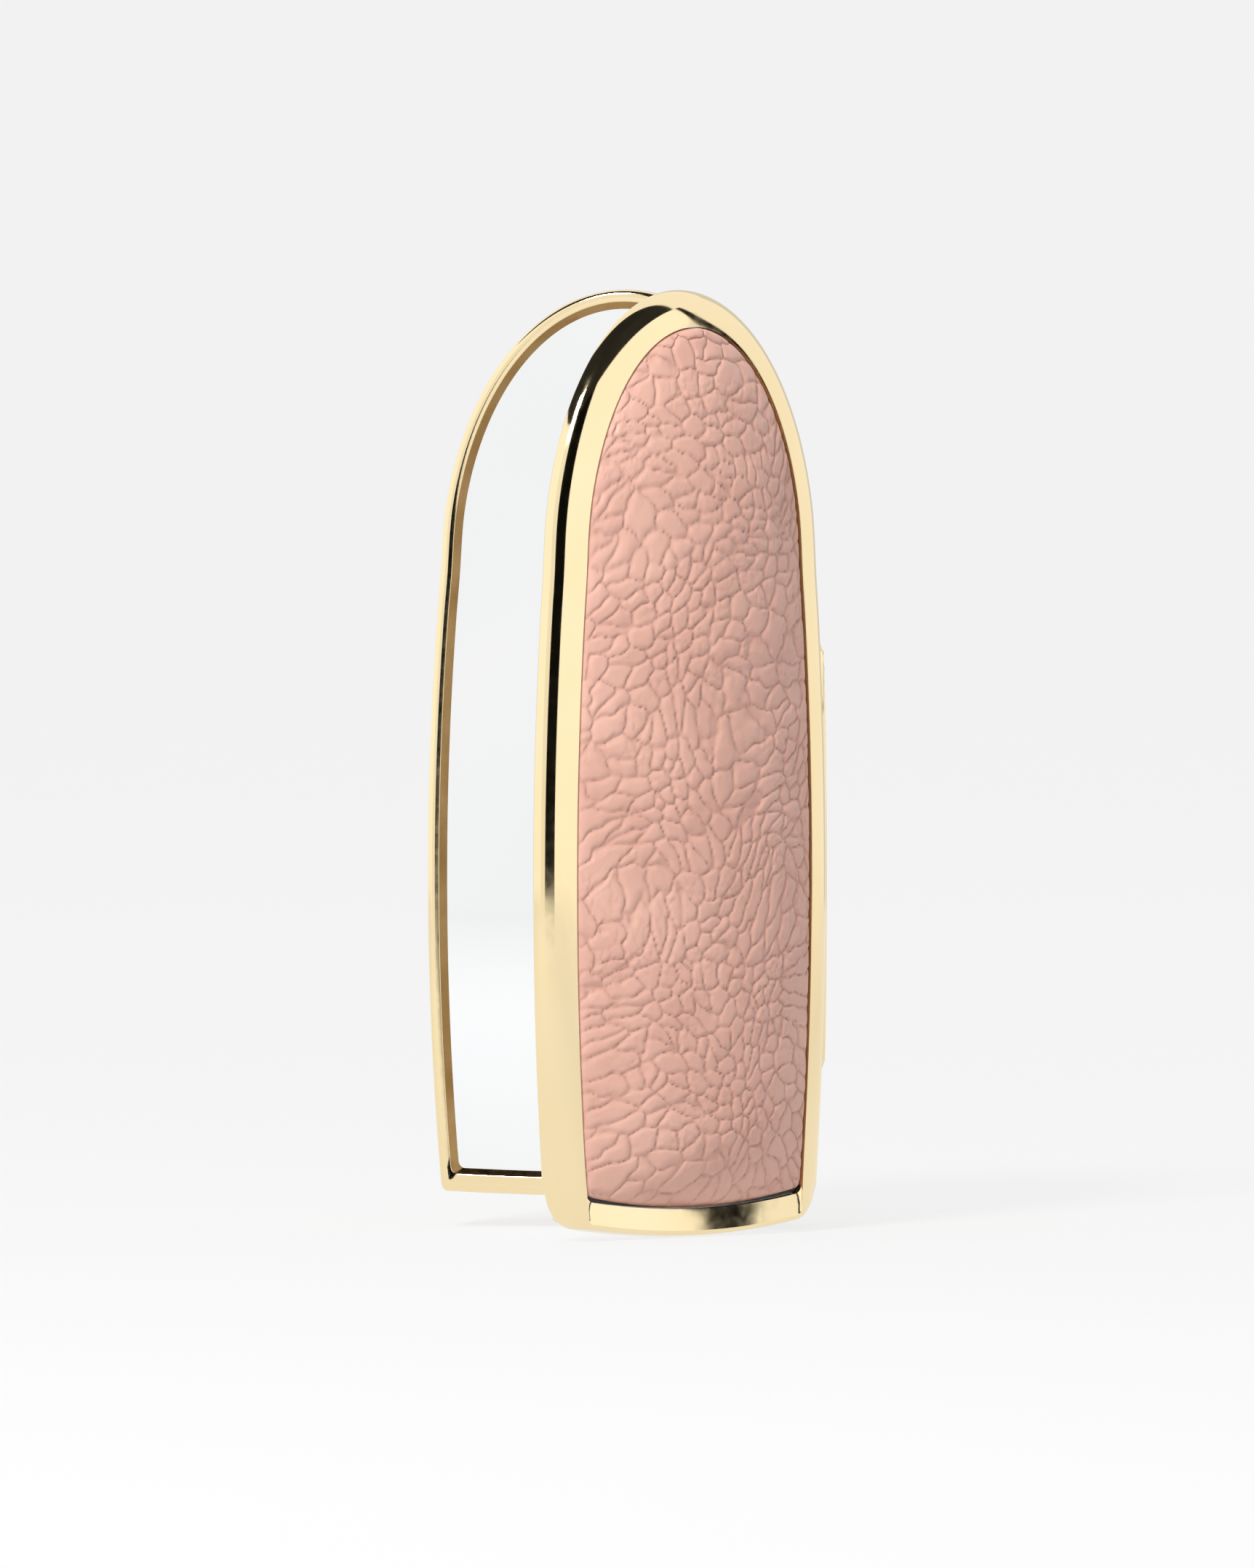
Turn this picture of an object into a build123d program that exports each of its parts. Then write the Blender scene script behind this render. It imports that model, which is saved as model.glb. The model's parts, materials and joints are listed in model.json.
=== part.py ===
"""Lipstick case: a domed shell with a refill socket and a mirror, and a hinged leather-faced cover.

Millimetres, +Z up. The origin is the centre of the refill socket's mouth, at the foot of the case.
The cover is designed shut, in front of the parting plane, and then swung open about its hinge.
"""

from build123d import *
import math
import os

# Case outline
HALF_WIDTH = 18.4
WIDEST_Z = 32.5
SIDE_RADIUS = 330.0
SIDE_TOP_Z = 57.0
DOME_HALF_WIDTH = 17.15
DOME_BASE_Z = 60.9
DOME_DEGREES = (20, 45, 68)
TOP_Z = 86.8

# Longer than any piece, for cuts that run right through
BEYOND = 90.0

# Parting plane between the two halves
PARTING_Y = -11.0
HALF_GAP = 0.15

# Rear half
REAR_HEM_Z = 2.9
REAR_HEM_SAG = 0.5
REAR_CORNER = 0.6
REAR_DEPTH = 20.2
REAR_ROUNDING = 9.0
INNER_ROUNDING = 8.6
HOLLOW_BELOW_HEM = -3.0
ROUND_DEGREES = (0, 22.5, 45, 67.5, 90)
WALL = 0.9
RIM_DEPTH = 1.75
RIM_EDGE = 0.5
RIM_FLAT = 1.1
RIM_WIDTH = 1.77
RIM_FOOT_FLAT = 1.65
RIM_FOOT = 2.2
RIM_CHAMFER_DEPTH = 0.75
RIM_HEM_SHARE = 0.3
RIM_POCKET_INSETS = (1.25, 1.65)
MIRROR_FOOT = 1.7
REAR_FILM_INSETS = (1.6, 2.0)
REAR_PLATE_INSETS = (1.2, 1.6)
GLASS_INSET = 1.3
PLATE_THICK = 0.6
PLATE_FRONT = 2.6
FILM = 0.15

# Refill socket
SOCKET_R = 6.8
SLEEVE_R = 7.6
SLEEVE_TOP = 62.0
COLLAR_R = 8.2
COLLAR_TOP = 3.5
BASE_PLATE_Z = 3.5
BASE_PLATE_THICK = 1.2
CAP_THICK = 1.2
BUMPER_THICK = 0.8
BUMPER_CLEAR = 0.2
BUMPER_R = 7.0
CAP_WALL = 0.4
CAP_SKIRT = 4.0
CAP_ROUND = 0.35
CLIP_WINDOW = (2.0, 8.0)
CLIP_Z = 14.0
CLIP_COUNT = 3
CLIP_THICK = 0.3
CLIP_CLEAR = 0.1
CLIP_BAND = 6.0
CLIP_PAD = 3.0
CLIP_SPAN = 4.0
COLLAR_ROUND = 0.4
SADDLE_Z = (40.0, 44.0)
SADDLE_HALF = 11.0
SADDLE_BACK = 5.0

# Cover
COVER_DEPTH = 2.5
BEZEL_WIDTH = 3.4
BEZEL_FOOT = 2.6
COVER_HEM_SAG = 1.87
COVER_CORNER = 4.0
HEM_ROUNDING = 0.35
COVER_POCKET = 1.9
POCKET_DEPTH = 1.6
LEATHER_GAP = 0.1
LEATHER_RISE = 3.4
CROWN_SPREAD = 14.9
CROWN_STEPS = (0.0, 0.12, 0.3, 0.5, 0.7)
PAD_FOOT_LESS = 0.8
LEATHER_BACK = 1.9
LEATHER_EDGE = 2.4
CORE_EDGE = 2.1
CORE_INSET = 4.3
CORE_RISE = 2.8
MIRROR_DEPTHS = (0.35, 1.15)
COVER_FILM_DEPTHS = (1.15, 1.3)
TRAY_INSETS = (1.95, 2.05)
COVER_FILM_INSETS = (2.3, 2.4)

# Hinge
HINGE_X = 17.7
KNUCKLE_R = 1.0
PIN_R = 0.5
PIN_RUNNING = 0.05
BARREL_CLEAR_R = 1.25
BARREL_CLEAR_END = 1.5
PIN_END = 0.3
PIN_CHAMFER = 0.15
BARREL_LOW = 16.0
BARREL_HIGH = 52.0
KNUCKLE_LENGTH = 6.0
KNUCKLE_GAP = 0.2
ROOT_SHORT = 0.2
REAR_ROOT_X = (17.25, 17.8)
REAR_ROOT_DEPTHS = (0.3, 1.6)
COVER_ROOT_X = (16.7, 17.35)
COVER_ROOT_DEPTHS = (0.3, 1.25)
OPEN_DEG = 52.0

# Catch
TONGUE_X = (5.0, 7.0)
TONGUE_Z = (0.8, 2.0)
TONGUE_REACH = 2.2
TONGUE_ROOT_DEPTH = 0.9
TONGUE_STEM = 0.7
NOTCH_DEPTHS = (0.5, 1.7)


def rear_y(depth):
    """Y of a plane so deep in the rear half."""
    return PARTING_Y + depth


def cover_y(depth):
    """Y of a plane so far forward in the shut cover."""
    return PARTING_Y - depth


def side_x(z, inset):
    """Half-width of the outline's bowed side at height z."""
    bow = SIDE_RADIUS - inset
    return HALF_WIDTH - SIDE_RADIUS + math.sqrt(bow**2 - (z - WIDEST_Z) ** 2)


def dome_point(degrees, inset):
    """A point on the outline's elliptical dome, drawn in by the inset on both axes."""
    u = math.radians(degrees)
    x = (DOME_HALF_WIDTH - inset) * math.cos(u)
    return x, DOME_BASE_Z + (TOP_Z - DOME_BASE_Z - inset) * math.sin(u)


def arch(y, inset, hem_z, sag, corner):
    """The case outline at depth y: bowed sides, a dome, an arched hem and rounded corners."""
    low_x = side_x(hem_z + sag, inset)
    curve = sag / HALF_WIDTH**2
    low_z = hem_z + curve * low_x**2
    mid_z = (low_z + SIDE_TOP_Z) / 2
    top_x = side_x(SIDE_TOP_Z, inset)
    lean = (SIDE_TOP_Z - WIDEST_Z) / (SIDE_RADIUS - inset)
    right_dome = [dome_point(a, inset) for a in DOME_DEGREES]
    left_dome = [(-x, z) for x, z in reversed(right_dome)]
    dome = Spline(
        (top_x, SIDE_TOP_Z),
        *right_dome,
        (0, TOP_Z - inset),
        *left_dome,
        (-top_x, SIDE_TOP_Z),
        tangents=[(-lean, 1), (-lean, -1)],
    )
    right = ThreePointArc((low_x, low_z), (side_x(mid_z, inset), mid_z), (top_x, SIDE_TOP_Z))
    left = ThreePointArc((-top_x, SIDE_TOP_Z), (-side_x(mid_z, inset), mid_z), (-low_x, low_z))
    hem = ThreePointArc((-low_x, low_z), (0, hem_z), (low_x, low_z))
    face = make_face([right, dome, left, hem])
    corners = face.vertices().sort_by(Axis.Y)[:2]
    face = fillet(corners, corner)
    return Plane(origin=(0, y, 0), x_dir=(1, 0, 0), z_dir=(0, -1, 0)) * face


def rear_arch(depth, inset, foot=0.0):
    return arch(rear_y(depth), inset, REAR_HEM_Z + foot, REAR_HEM_SAG, REAR_CORNER)


def cover_arch(depth, inset, foot=0.0):
    corner = max(COVER_CORNER - inset, 1.0)
    return arch(cover_y(depth), inset, foot, COVER_HEM_SAG, corner)


def rear_slab(near, far, inset, foot):
    """A flat arch-shaped plate in the rear half, from one depth to another."""
    return loft([rear_arch(near, inset, foot), rear_arch(far, inset, foot)])


def cover_slab(near, far, inset, foot):
    """A flat arch-shaped plate in the cover, from one depth to another."""
    return loft([cover_arch(near, inset, foot), cover_arch(far, inset, foot)])


def upright(radius, low, high, x=0.0, y=0.0):
    """A vertical cylinder."""
    return Pos(x, y, low) * Cylinder(radius, high - low, align=(Align.CENTER, Align.CENTER, Align.MIN))


def block(x_range, y_range, z_range):
    """A box between stated limits."""
    size = [high - low for low, high in (x_range, y_range, z_range)]
    corner = (x_range[0], y_range[0], z_range[0])
    return Pos(*corner) * Box(*size, align=(Align.MIN, Align.MIN, Align.MIN))


def barrel_clearance():
    """The round channel that the hinge barrel lies in."""
    low, high = BARREL_LOW - BARREL_CLEAR_END, BARREL_HIGH + BARREL_CLEAR_END
    return upright(BARREL_CLEAR_R, low, high, HINGE_X, PARTING_Y)


# ---- rear half ----


def domed_body(start, depth, inset, rounding, foot=0.0):
    """A solid that starts at one depth and rounds in to a flat back."""
    sections = []
    for angle in ROUND_DEGREES:
        t = math.radians(angle)
        level = start + (depth - start) * math.sin(t)
        sections.append(rear_arch(level, inset + rounding * (1 - math.cos(t)), foot))
    return loft(sections)


def shell_inside():
    """The hollow of the rear shell, run out below the hem."""
    return domed_body(RIM_DEPTH, REAR_DEPTH - WALL, WALL, INNER_ROUNDING, HOLLOW_BELOW_HEM)


SCREW_X = 12.6
SCREW_Y = -3.2
SCREW_R = 0.7
SCREW_HEAD_R = 1.2
SCREW_HEAD_CLEAR = 0.1
SCREW_SEAT = 0.6
SLOT_HALF = 0.15
SLOT_DEPTH = 0.3
BOSS_R = 1.7
BOSS_TOP = 12.0
BOSS_BLIND = 1.5
SCREW_SHORT = 2.0
WEB_REACH = 4.5
WEB_HALF = 0.6


def screw_places():
    return [(-SCREW_X, SCREW_Y), (SCREW_X, SCREW_Y)]


def make_rear_shell(inside):
    outer = domed_body(RIM_DEPTH, REAR_DEPTH, 0.0, REAR_ROUNDING)
    shell = outer - inside
    plate_top = BASE_PLATE_Z + BASE_PLATE_THICK
    for x, y in screw_places():
        boss = upright(BOSS_R, plate_top, BOSS_TOP, x, y)
        web_x = (x, x + math.copysign(WEB_REACH, x))
        web = block((min(web_x), max(web_x)), (y - WEB_HALF, y + WEB_HALF), (plate_top, BOSS_TOP))
        shell = shell + ((boss + web) & outer)
    for x, y in screw_places():
        shell = shell - upright(SCREW_R, plate_top, BOSS_TOP - BOSS_BLIND, x, y)
    return shell


def make_mirror_frame():
    """The rear half's polished rim: rounded outside, chamfered down to the glass inside."""
    face = rear_arch(HALF_GAP, RIM_EDGE, RIM_EDGE * RIM_HEM_SHARE)
    rounded = [face]
    for angle in (30, 60, 90):
        t = math.radians(angle)
        inset = RIM_EDGE * (1 - math.sin(t))
        level = HALF_GAP + RIM_EDGE * (1 - math.cos(t))
        rounded.append(rear_arch(level, inset, inset * RIM_HEM_SHARE))
    body = loft(rounded) + rear_slab(HALF_GAP + RIM_EDGE, RIM_DEPTH, 0.0, 0.0)
    opening = loft(
        [
            rear_arch(HALF_GAP, RIM_FLAT, RIM_FOOT_FLAT),
            rear_arch(RIM_CHAMFER_DEPTH, RIM_WIDTH, RIM_FOOT),
        ]
    )
    pocket = rear_slab(RIM_CHAMFER_DEPTH, RIM_DEPTH, *RIM_POCKET_INSETS)
    frame = body - opening - pocket
    return frame - hinge_space(rear_root, rear_knuckle_lows())


def make_rear_mirror():
    return rear_slab(RIM_CHAMFER_DEPTH, RIM_DEPTH, GLASS_INSET, MIRROR_FOOT)


def make_rear_film():
    return rear_slab(RIM_DEPTH, RIM_DEPTH + FILM, *REAR_FILM_INSETS)


def make_rear_plate():
    start = RIM_DEPTH + FILM
    return rear_slab(start, start + PLATE_THICK, *REAR_PLATE_INSETS)


def make_base_plate(inside):
    plate_top = BASE_PLATE_Z + BASE_PLATE_THICK
    seat = BASE_PLATE_Z + SCREW_SEAT
    plate = inside & block((-BEYOND, BEYOND), (rear_y(PLATE_FRONT), BEYOND), (BASE_PLATE_Z, plate_top))
    plate = plate - upright(SLEEVE_R, 0, BEYOND)
    for x, y in screw_places():
        plate = plate - upright(SCREW_R, 0, BEYOND, x, y)
        plate = plate - upright(SCREW_HEAD_R + SCREW_HEAD_CLEAR, 0, seat, x, y)
    return plate


def make_base_screws():
    screws = []
    low = BASE_PLATE_Z - SCREW_HEAD_CLEAR
    seat = BASE_PLATE_Z + SCREW_SEAT
    for x, y in screw_places():
        head = upright(SCREW_HEAD_R, low, seat, x, y)
        slot_x = (x - SCREW_HEAD_R, x + SCREW_HEAD_R)
        head = head - block(slot_x, (y - SLOT_HALF, y + SLOT_HALF), (low, low + SLOT_DEPTH))
        shank = upright(SCREW_R, seat, BOSS_TOP - SCREW_SHORT, x, y)
        screws.append(head + shank)
    return Compound(children=screws)


def clip_turns():
    return [90.0 + 360.0 / CLIP_COUNT * i for i in range(CLIP_COUNT)]


def make_refill_sleeve():
    width, height = CLIP_WINDOW
    sleeve = upright(SLEEVE_R, 0, SLEEVE_TOP) - upright(SOCKET_R, -1, SLEEVE_TOP + 1)
    for turn in clip_turns():
        window = Pos(SLEEVE_R, 0, CLIP_Z) * Box(CLIP_SPAN, width, height)
        sleeve = sleeve - Rot(0, 0, turn) * window
    return sleeve


def make_grip_springs():
    """Leaf springs that sit in the sleeve's windows and grip the refill."""
    width, height = CLIP_WINDOW
    ring = upright(SLEEVE_R + CLIP_THICK, CLIP_Z - CLIP_BAND, CLIP_Z + CLIP_BAND)
    ring = ring - upright(SLEEVE_R, 0, BEYOND)
    pad = upright(SLEEVE_R, CLIP_Z - CLIP_PAD, CLIP_Z + CLIP_PAD)
    pad = pad - upright(SOCKET_R + CLIP_CLEAR, 0, BEYOND)
    springs = []
    for turn in clip_turns():
        strip = Pos(SLEEVE_R, 0, CLIP_Z) * Box(CLIP_SPAN, 2 * width, 2 * height)
        tongue = Pos(SLEEVE_R, 0, CLIP_Z) * Box(CLIP_SPAN, width - 2 * CLIP_CLEAR, height)
        leaf = (ring & (Rot(0, 0, turn) * strip)) + (pad & (Rot(0, 0, turn) * tongue))
        springs.append(leaf)
    return Compound(children=springs)


def make_sleeve_collar():
    collar = upright(COLLAR_R, 0, COLLAR_TOP) - upright(SLEEVE_R, -1, COLLAR_TOP + 1)
    foot = collar.edges().filter_by(GeomType.CIRCLE).group_by(Axis.Z)[0].sort_by(SortBy.RADIUS)[-1]
    return fillet(foot, COLLAR_ROUND)


def make_sleeve_cap():
    ceiling = SLEEVE_TOP + BUMPER_CLEAR + BUMPER_THICK
    cap = upright(SLEEVE_R + CAP_WALL, SLEEVE_TOP - CAP_SKIRT, ceiling + CAP_THICK)
    edge = cap.edges().filter_by(GeomType.CIRCLE).group_by(Axis.Z)[-1]
    cap = fillet(edge, CAP_ROUND)
    return cap - upright(SLEEVE_R, 0, SLEEVE_TOP) - upright(BUMPER_R, 0, ceiling)


def make_socket_bumper():
    """A soft disc at the socket's blind end that stops the refill without a rattle."""
    low = SLEEVE_TOP + BUMPER_CLEAR
    return upright(BUMPER_R, low, low + BUMPER_THICK)


def make_sleeve_saddle():
    """A moulded bridge that holds the sleeve's upper end between the mirror plate and the shell."""
    front = rear_y(RIM_DEPTH + FILM + PLATE_THICK)
    bridge = block((-SADDLE_HALF, SADDLE_HALF), (front, SADDLE_BACK), SADDLE_Z)
    return bridge - upright(SLEEVE_R, 0, BEYOND)


# ---- hinge ----


def knuckle(low, root):
    """One barrel knuckle with the root block that holds it in its frame."""
    high = low + KNUCKLE_LENGTH
    barrel = upright(KNUCKLE_R, low, high, HINGE_X, PARTING_Y)
    return barrel + root(low + ROOT_SHORT, high - ROOT_SHORT)


def rear_root(low, high):
    near, far = REAR_ROOT_DEPTHS
    return block(REAR_ROOT_X, (rear_y(near), rear_y(far)), (low, high))


def cover_root(low, high):
    near, far = COVER_ROOT_DEPTHS
    return block(COVER_ROOT_X, (cover_y(far), cover_y(near)), (low, high))


def rear_knuckle_lows():
    return [BARREL_LOW, BARREL_HIGH - KNUCKLE_LENGTH]


def cover_knuckle_lows():
    step = KNUCKLE_LENGTH + KNUCKLE_GAP
    return [BARREL_LOW + step, BARREL_HIGH - KNUCKLE_LENGTH - step]


def hinge_space(root, lows):
    """What the barrel and the knuckles' root blocks take out of a frame."""
    space = barrel_clearance()
    for low in lows:
        space = space + root(low + ROOT_SHORT, low + KNUCKLE_LENGTH - ROOT_SHORT)
    return space


def make_rear_knuckles():
    hole = upright(PIN_R, 0, BEYOND, HINGE_X, PARTING_Y)
    return Compound(children=[knuckle(low, rear_root) - hole for low in rear_knuckle_lows()])


def make_cover_knuckles():
    hole = upright(PIN_R + PIN_RUNNING, 0, BEYOND, HINGE_X, PARTING_Y)
    return Compound(children=[knuckle(low, cover_root) - hole for low in cover_knuckle_lows()])


def make_hinge_pin():
    pin = upright(PIN_R, BARREL_LOW - PIN_END, BARREL_HIGH + PIN_END, HINGE_X, PARTING_Y)
    return chamfer(pin.edges(), PIN_CHAMFER)


SPRING_WIRE_R = 0.13
SPRING_COIL_R = 0.76
SPRING_PITCH = 0.6
SPRING_END = 0.4


def make_torsion_spring():
    """The coil round the hinge pin that throws the cover open."""
    taken = 2 * (KNUCKLE_LENGTH + KNUCKLE_GAP) + SPRING_END
    low, high = BARREL_LOW + taken, BARREL_HIGH - taken
    path = Pos(HINGE_X, PARTING_Y, low) * Helix(SPRING_PITCH, high - low, SPRING_COIL_R)
    start = Plane(origin=path @ 0, z_dir=path % 0)
    return sweep(start * Circle(SPRING_WIRE_R), path)


# ---- cover, modelled shut ----


def make_cover_frame():
    sections = []
    for angle in ROUND_DEGREES:
        t = math.radians(angle)
        level = HALF_GAP + (COVER_DEPTH - HALF_GAP) * math.sin(t)
        ease = 1 - math.cos(t)
        sections.append(cover_arch(level, BEZEL_WIDTH * ease, HEM_ROUNDING * ease))
    frame = loft(sections, ruled=True)
    frame = frame - cover_slab(HALF_GAP, POCKET_DEPTH, COVER_POCKET, COVER_POCKET + 0.1)
    frame = frame - cover_slab(POCKET_DEPTH, COVER_DEPTH, BEZEL_WIDTH, BEZEL_FOOT)
    return frame - hinge_space(cover_root, cover_knuckle_lows()) - tongue_root()


def crowned_pad(base_depth, edge_depth, inset, rise):
    """A pad with a flat back and a crowned front, inside the bezel."""
    sections = [cover_arch(base_depth, inset, inset - PAD_FOOT_LESS)]
    for part in CROWN_STEPS:
        depth = edge_depth + rise * (1 - (1 - part) ** 2)
        reach = inset + part * CROWN_SPREAD
        sections.append(cover_arch(depth, reach, reach - PAD_FOOT_LESS))
    edge = loft(sections[:2])
    return edge + loft(sections[1:])


def leather_core():
    """The crowned core that the leather is wrapped over."""
    return crowned_pad(LEATHER_BACK, CORE_EDGE, CORE_INSET, CORE_RISE)


def make_panel_carrier():
    inset, foot = BEZEL_WIDTH + LEATHER_GAP, BEZEL_FOOT + LEATHER_GAP
    return cover_slab(POCKET_DEPTH, LEATHER_BACK, inset, foot) + leather_core()


def make_leather_panel():
    skin = crowned_pad(LEATHER_BACK, LEATHER_EDGE, BEZEL_WIDTH + LEATHER_GAP, LEATHER_RISE)
    return skin - leather_core()


def make_cover_mirror():
    return cover_slab(*MIRROR_DEPTHS, *TRAY_INSETS)


def make_cover_film():
    return cover_slab(*COVER_FILM_DEPTHS, *COVER_FILM_INSETS)


def make_mirror_tray():
    return cover_slab(COVER_FILM_DEPTHS[1], POCKET_DEPTH, *TRAY_INSETS)


def tongue_root():
    return block(TONGUE_X, (cover_y(TONGUE_ROOT_DEPTH), cover_y(HALF_GAP)), TONGUE_Z)


def make_catch_tongue():
    """A small hook behind the cover's hem, with a notch for the catch."""
    hook = block(TONGUE_X, (cover_y(HALF_GAP), rear_y(TONGUE_REACH)), TONGUE_Z)
    near, far = NOTCH_DEPTHS
    notch = block((TONGUE_X[0] + TONGUE_STEM, BEYOND), (rear_y(near), rear_y(far)), (0, BEYOND))
    return tongue_root() + (hook - notch)


# ---- catch, under the base plate ----

GUIDE_X = (10.2, 15.0)
GUIDE_Y = (-9.0, -6.2)
GUIDE_Z = (0.9, BASE_PLATE_Z)
GUIDE_WALL = 0.4
SLIDER_X = (8.9, 13.0)
SLIDER_CLEAR = 0.1
ARM_X = (8.9, 10.0)
ARM_Z = (1.1, 1.75)
NOSE_DEPTHS = (0.85, 1.35)
NOSE_GAP = 0.5
CATCH_WIRE_R = 0.1
CATCH_COIL_R = 0.6
CATCH_PITCH = 0.42
CATCH_SPRING_Z = 2.4
CATCH_SPRING_END = 0.15


def make_catch_guide():
    outer = block(GUIDE_X, GUIDE_Y, GUIDE_Z)
    inner_y = (GUIDE_Y[0] + GUIDE_WALL, GUIDE_Y[1] - GUIDE_WALL)
    inner = block((0, GUIDE_X[1] - GUIDE_WALL), inner_y, (GUIDE_Z[0] + GUIDE_WALL, BEYOND))
    return outer - inner


def make_catch_slider():
    """The sliding catch: a block in the guide, with an arm and a nose for the tongue's notch."""
    play = GUIDE_WALL + SLIDER_CLEAR
    body_y = (GUIDE_Y[0] + play, GUIDE_Y[1] - play)
    body = block(SLIDER_X, body_y, (GUIDE_Z[0] + play, BASE_PLATE_Z - SLIDER_CLEAR))
    near, far = NOSE_DEPTHS
    arm = block(ARM_X, (rear_y(near), body_y[1]), ARM_Z)
    nose = block((TONGUE_X[1] + NOSE_GAP, ARM_X[1]), (rear_y(near), rear_y(far)), ARM_Z)
    return body + arm + nose


def make_catch_spring():
    """The coil that draws the catch back out of the tongue's path."""
    low = SLIDER_X[1] + CATCH_SPRING_END
    high = GUIDE_X[1] - GUIDE_WALL - CATCH_SPRING_END
    coil = Helix(CATCH_PITCH, high - low, CATCH_COIL_R)
    path = Pos(low, sum(GUIDE_Y) / 2, CATCH_SPRING_Z) * Rot(0, 90, 0) * coil
    start = Plane(origin=path @ 0, z_dir=path % 0)
    return sweep(start * Circle(CATCH_WIRE_R), path)


def swing_open(piece):
    """Turn a shut cover piece about the hinge to where the spring holds it."""
    return piece.rotate(Axis((HINGE_X, PARTING_Y, 0), (0, 0, 1)), OPEN_DEG)


def make_all():
    inside = shell_inside()
    rear = {
        "rear_shell": make_rear_shell(inside),
        "mirror_frame": make_mirror_frame(),
        "rear_mirror": make_rear_mirror(),
        "rear_mirror_film": make_rear_film(),
        "rear_mirror_plate": make_rear_plate(),
        "base_plate": make_base_plate(inside),
        "base_screws": make_base_screws(),
        "refill_sleeve": make_refill_sleeve(),
        "grip_springs": make_grip_springs(),
        "sleeve_collar": make_sleeve_collar(),
        "sleeve_cap": make_sleeve_cap(),
        "socket_bumper": make_socket_bumper(),
        "sleeve_saddle": make_sleeve_saddle(),
        "rear_knuckles": make_rear_knuckles(),
        "hinge_pin": make_hinge_pin(),
        "torsion_spring": make_torsion_spring(),
        "catch_guide": make_catch_guide(),
        "catch_slider": make_catch_slider(),
        "catch_spring": make_catch_spring(),
    }
    cover = {
        "cover_frame": make_cover_frame(),
        "leather_panel": make_leather_panel(),
        "panel_carrier": make_panel_carrier(),
        "cover_mirror": make_cover_mirror(),
        "cover_mirror_film": make_cover_film(),
        "cover_mirror_tray": make_mirror_tray(),
        "cover_knuckles": make_cover_knuckles(),
        "catch_tongue": make_catch_tongue(),
    }
    nodes = dict(rear)
    for name, piece in cover.items():
        nodes[name] = swing_open(piece)
    return nodes


os.makedirs("parts", exist_ok=True)
for node, shape in make_all().items():
    export_step(shape, f"parts/{node}.step")
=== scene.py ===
import json
import math

import bmesh
import bpy
import numpy as np
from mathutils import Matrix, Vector


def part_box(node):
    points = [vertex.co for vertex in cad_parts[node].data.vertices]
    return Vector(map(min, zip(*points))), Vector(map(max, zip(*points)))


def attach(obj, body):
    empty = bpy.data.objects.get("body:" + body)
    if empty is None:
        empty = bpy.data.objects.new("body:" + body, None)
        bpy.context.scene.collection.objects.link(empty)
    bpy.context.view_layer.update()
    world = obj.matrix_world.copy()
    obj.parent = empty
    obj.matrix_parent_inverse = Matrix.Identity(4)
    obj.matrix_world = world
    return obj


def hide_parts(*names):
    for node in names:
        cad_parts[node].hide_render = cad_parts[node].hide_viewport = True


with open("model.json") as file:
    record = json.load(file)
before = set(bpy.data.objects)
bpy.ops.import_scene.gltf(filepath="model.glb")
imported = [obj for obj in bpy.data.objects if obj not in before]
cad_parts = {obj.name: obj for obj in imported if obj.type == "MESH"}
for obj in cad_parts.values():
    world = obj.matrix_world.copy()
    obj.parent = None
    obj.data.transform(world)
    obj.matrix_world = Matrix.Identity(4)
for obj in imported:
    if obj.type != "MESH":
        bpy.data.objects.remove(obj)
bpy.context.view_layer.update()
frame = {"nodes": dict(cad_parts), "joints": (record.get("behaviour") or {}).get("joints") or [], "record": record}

# ---- sizes, in metres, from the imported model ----

MM = 0.001
rim_low, rim_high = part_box("mirror_frame")
HALF_WIDTH = (rim_high[0] - rim_low[0]) / 2
TOP_Z = rim_high[2]
REAR_HEM_Z = rim_low[2]
HALF_GAP = 0.15 * MM
PARTING_Y = rim_low[1] - HALF_GAP
HINGE = next(j for j in frame["joints"] if j["name"] == "cover_hinge")
HINGE_X = HINGE["pos_m"][0]
OPEN_ANGLE = -math.radians(HINGE["range_deg"][0])

# The outline: bowed sides under an elliptical dome
WIDEST_Z = 32.5 * MM
SIDE_RADIUS = 330 * MM
SIDE_TOP_Z = 57 * MM
DOME_HALF_WIDTH = 17.15 * MM
DOME_BASE_Z = 60.9 * MM
BLEND_HEIGHT = 11 * MM
HEM_STEPS = 16
CORNER_STEPS = 16
SIDE_STEPS = 44
DOME_STEPS = 56

# The cover and its frame
COVER_DEPTH = 2.5 * MM
BEZEL_WIDTH = 3.4 * MM
BEZEL_FOOT = 2.6 * MM
COVER_HEM_SAG = 1.87 * MM
COVER_CORNER = 4.0 * MM
LEAST_CORNER = 1.0 * MM
HEM_ROUNDING = 0.35 * MM
COVER_POCKET = 1.9 * MM
POCKET_FOOT = COVER_POCKET + 0.1 * MM
BACK_EDGE = 0.12 * MM
POCKET_DEPTH = 1.6 * MM
FOOT_BULGE = 0.55 * MM
FOOT_LEAN = 0.12 * MM
FOOT_FADE_Z = (3 * MM, 8 * MM)
LIP = 0.03 * MM
BEZEL_STEPS = 26
BEZEL_FIRST_DEG = 4

# The rear half's rim
REAR_HEM_SAG = 0.5 * MM
REAR_CORNER = 0.6 * MM
RIM_EDGE = 0.5 * MM
RIM_FLAT = 1.1 * MM
RIM_WIDTH = 1.77 * MM
RIM_FOOT_FLAT = 1.65 * MM
RIM_FOOT = 2.2 * MM
RIM_BACK = 1.75 * MM
RIM_LIP = 0.75 * MM
RIM_POCKET = 1.25 * MM
RIM_HEM_SHARE = 0.3
RIM_STEPS = 8
CHAMFER_SPREAD = 0.4 * MM
CHAMFER_FOOT = 0.76 * MM

# The channel for the hinge barrel
BARREL_CLEAR = 1.25 * MM
BARREL_Z = (14.5 * MM, 53.5 * MM)

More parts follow.
